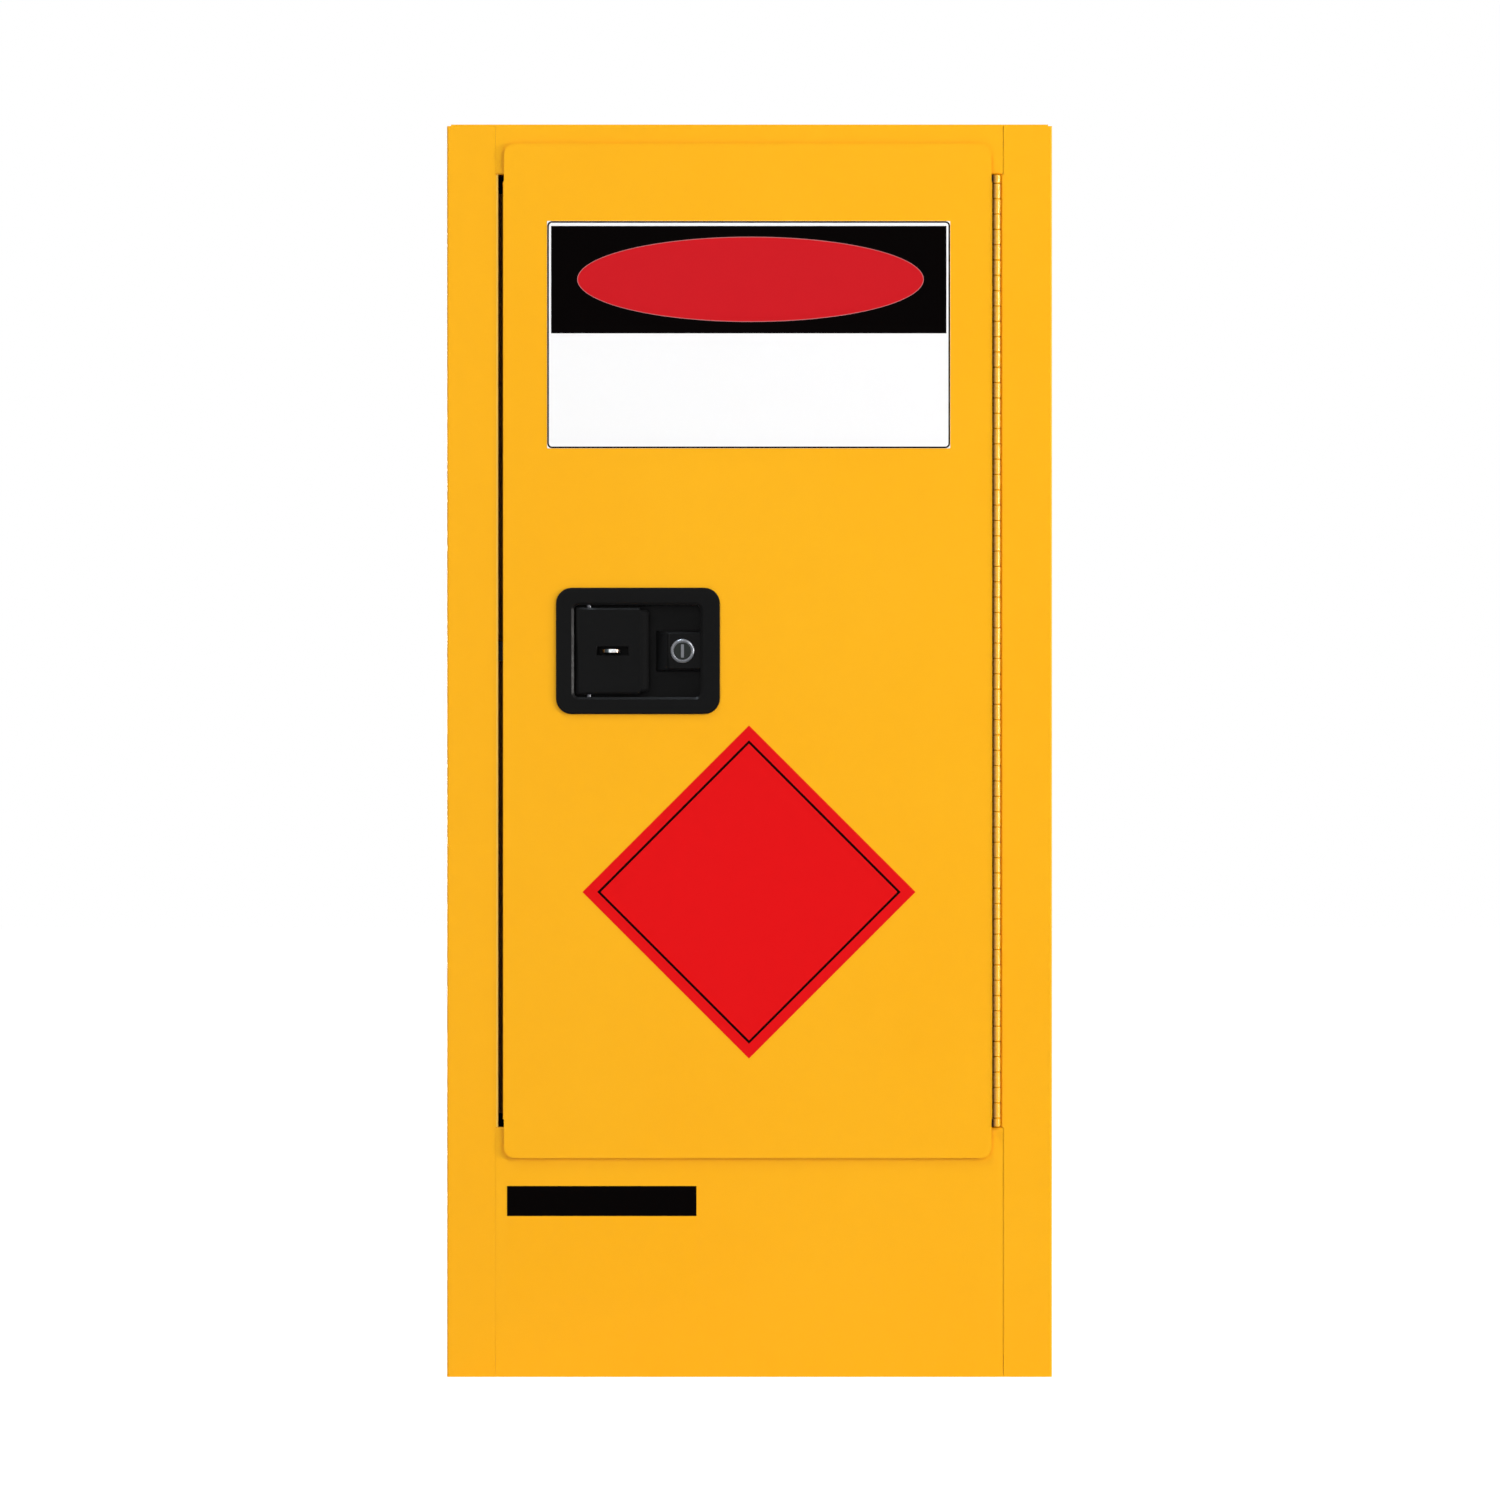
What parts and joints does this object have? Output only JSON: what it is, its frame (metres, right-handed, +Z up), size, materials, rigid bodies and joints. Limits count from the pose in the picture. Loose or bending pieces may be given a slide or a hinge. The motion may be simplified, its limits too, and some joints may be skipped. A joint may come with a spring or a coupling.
{
  "type": "flammable safety cabinet",
  "caption": "Tall double-walled steel cabinet for flammable liquids: piano-hinged door with recessed paddle latch and key lock, shelf over a leak-proof sump, vents and self-closing strut.",
  "frame": {"origin": "centre of the base's underside, on the floor", "axes": "+Z up, +Y to the back, so the door faces -Y, and +X to the right seen from the front"},
  "size_m": [0.5, 0.5836, 1.035],
  "materials": {
    "yellow_paint": "smooth yellow powder coat, semi-gloss",
    "black_moulding": "fine-grained black nylon",
    "zinc_steel": "bright zinc-plated steel",
    "galvanised_steel": "galvanised sheet",
    "lock_chrome": "satin chrome",
    "spring_steel": "drawn spring wire",
    "earth_brass": "plain brass",
    "gasket_rubber": "closed-cell rubber sheet",
    "closer_aluminium": "satin anodised tube",
    "vent_bung": "yellow plastic bung"
  },
  "bodies": {
    "cabinet": {"base_panel": "yellow_paint", "left_base_rail": "yellow_paint", "right_base_rail": "yellow_paint", "left_side_panel": "yellow_paint", "right_side_panel": "yellow_paint", "top_panel": "yellow_paint", "back_panel": "yellow_paint", "head_panel": "yellow_paint", "lower_front_panel": "yellow_paint", "left_liner": "yellow_paint", "right_liner": "yellow_paint", "back_liner": "yellow_paint", "ceiling_liner": "yellow_paint", "sump_tray": "yellow_paint", "sump_ledges": "yellow_paint", "hinge_frame_leaf": "yellow_paint", "left_front_upright": "yellow_paint", "left_rear_upright": "yellow_paint", "right_front_upright": "yellow_paint", "right_rear_upright": "yellow_paint", "shelf_clips": "galvanised_steel", "vent_ducts": "galvanised_steel", "flame_screens": "galvanised_steel", "bolt_keeper": "zinc_steel", "rod_keepers": "zinc_steel", "hinge_pin": "zinc_steel", "closer_frame_bracket": "zinc_steel", "earth_stud": "earth_brass", "earth_nut": "earth_brass"},
    "door": {"door_skin": "yellow_paint", "door_inner_pan": "yellow_paint", "hinge_door_leaf": "yellow_paint", "latch_housing": "black_moulding", "latch_gasket": "gasket_rubber", "latch_back_plate": "zinc_steel", "latch_screws": "zinc_steel", "padlock_eye": "zinc_steel", "paddle_pin": "lock_chrome", "paddle_spring": "spring_steel", "crank_stud": "zinc_steel", "bolt_guide": "zinc_steel", "rod_guides": "zinc_steel", "lock_body": "lock_chrome", "lock_nut": "zinc_steel", "closer_door_bracket": "zinc_steel"},
    "paddle": {"paddle": "black_moulding"},
    "latch_bolt": {"latch_bolt": "zinc_steel"},
    "crank": {"crank_plate": "zinc_steel"},
    "upper_rod": {"upper_rod": "zinc_steel"},
    "lower_rod": {"lower_rod": "zinc_steel"},
    "lock_plug": {"lock_plug": "lock_chrome", "lock_cam": "zinc_steel"},
    "closer_cylinder": {"closer_cylinder": "closer_aluminium"},
    "closer_rod": {"closer_rod": "zinc_steel"},
    "adjustable_shelf": {"adjustable_shelf": "galvanised_steel"},
    "sump_grate": {"sump_grate": "galvanised_steel"},
    "left_vent_bung": {"left_vent_bung": "vent_bung"},
    "right_vent_bung": {"right_vent_bung": "vent_bung"}
  },
  "joints": [
    {"name": "door_hinge", "type": "hinge", "parent": "cabinet", "child": "door", "pos_m": [0.2042, -0.2787, 0.6], "axis": [0, 0, 1], "range_deg": [0, 95], "stiffness_Nm_per_rad": 3, "springref_deg": -17.19},
    {"name": "paddle_pull", "type": "hinge", "parent": "door", "child": "paddle", "pos_m": [-0.1328, -0.2751, 0.6], "axis": [0, 0, -1], "range_deg": [0, 35], "stiffness_Nm_per_rad": 0.3, "springref_deg": -28.65},
    {"name": "latch_bolt_slide", "type": "slide", "parent": "door", "child": "latch_bolt", "axis": [1, 0, 0], "range_m": [0, 0.0117]},
    {"name": "crank_turn", "type": "hinge", "parent": "door", "child": "crank", "pos_m": [-0.112, -0.2515, 0.5835], "axis": [0, 1, 0], "range_deg": [0, 40]},
    {"name": "upper_rod_slide", "type": "slide", "parent": "door", "child": "upper_rod", "axis": [0, 0, -1], "range_m": [0, 0.0117]},
    {"name": "lower_rod_slide", "type": "slide", "parent": "door", "child": "lower_rod", "axis": [0, 0, 1], "range_m": [0, 0.0117]},
    {"name": "lock_turn", "type": "hinge", "parent": "door", "child": "lock_plug", "pos_m": [-0.0554, -0.27, 0.6], "axis": [0, -1, 0], "range_deg": [-90, 0]},
    {"name": "closer_cylinder_turn", "type": "hinge", "parent": "cabinet", "child": "closer_cylinder", "pos_m": [0.1192, 0.05566, 0.96], "axis": [0, 0, 1], "range_deg": [0, 48]},
    {"name": "closer_rod_turn", "type": "hinge", "parent": "door", "child": "closer_rod", "pos_m": [-0.13648, -0.2243, 0.96], "axis": [0, 0, 1], "range_deg": [-48, 0]},
    {"name": "adjustable_shelf_lift", "type": "slide", "parent": "cabinet", "child": "adjustable_shelf", "axis": [0, 0, 1], "range_m": [0, 0.04]},
    {"name": "sump_grate_lift", "type": "slide", "parent": "cabinet", "child": "sump_grate", "axis": [0, 0, 1], "range_m": [0, 0.03]},
    {"name": "left_vent_bung_pull", "type": "slide", "parent": "cabinet", "child": "left_vent_bung", "axis": [-1, 0, 0], "range_m": [0, 0.03]},
    {"name": "right_vent_bung_pull", "type": "slide", "parent": "cabinet", "child": "right_vent_bung", "axis": [1, 0, 0], "range_m": [0, 0.03]}
  ],
  "couplings": [
    {"joint": "latch_bolt_slide", "follows": "paddle_pull", "m_per_rad": 0.019041},
    {"joint": "crank_turn", "follows": "paddle_pull", "ratio": 1.1428},
    {"joint": "upper_rod_slide", "follows": "paddle_pull", "m_per_rad": 0.019036},
    {"joint": "lower_rod_slide", "follows": "paddle_pull", "m_per_rad": 0.019036},
    {"joint": "closer_cylinder_turn", "follows": "door_hinge", "ratio": 0.5},
    {"joint": "closer_rod_turn", "follows": "door_hinge", "ratio": -0.5}
  ]
}
